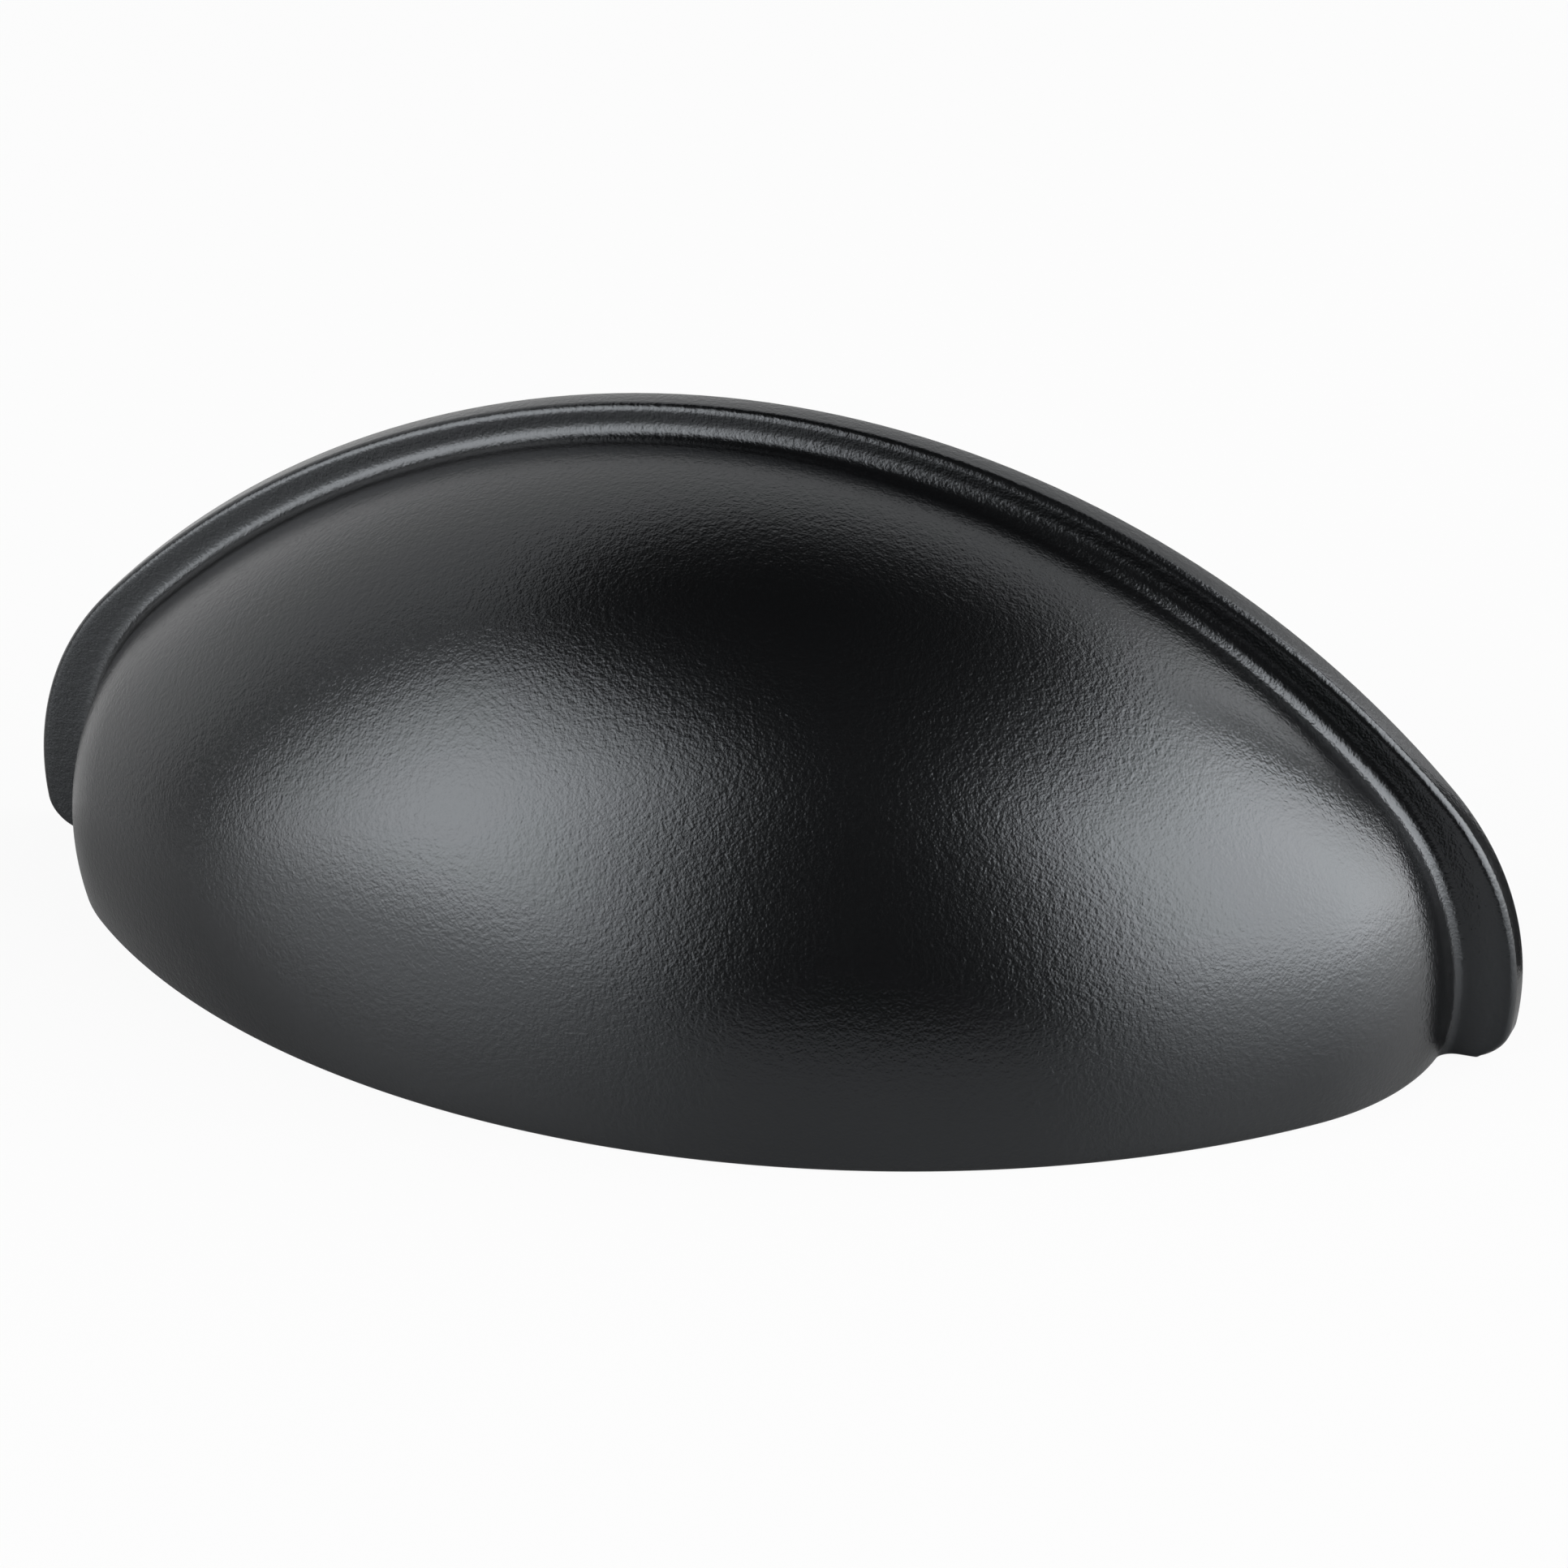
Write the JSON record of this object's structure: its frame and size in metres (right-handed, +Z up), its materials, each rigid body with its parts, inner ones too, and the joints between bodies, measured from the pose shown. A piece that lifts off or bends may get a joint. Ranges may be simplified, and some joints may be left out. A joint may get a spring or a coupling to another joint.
{
  "type": "cup pull",
  "caption": "Oval half-dome cup pull for a drawer or cabinet door, cast in one piece with a thin arched flange, open below for the fingers and screwed on from behind.",
  "frame": {"origin": "midway between the two screw holes, on the flat back", "axes": "+X along the pull, +Y out of the back into the drawer front, +Z up; the hood stands out towards -Y and opens downwards"},
  "size_m": [0.093, 0.0297, 0.0344],
  "materials": {
    "coating": "matte black powder coat with a fine orange-peel grain"
  },
  "bodies": {
    "root": {"cup_pull": "coating"}
  },
  "joints": []
}
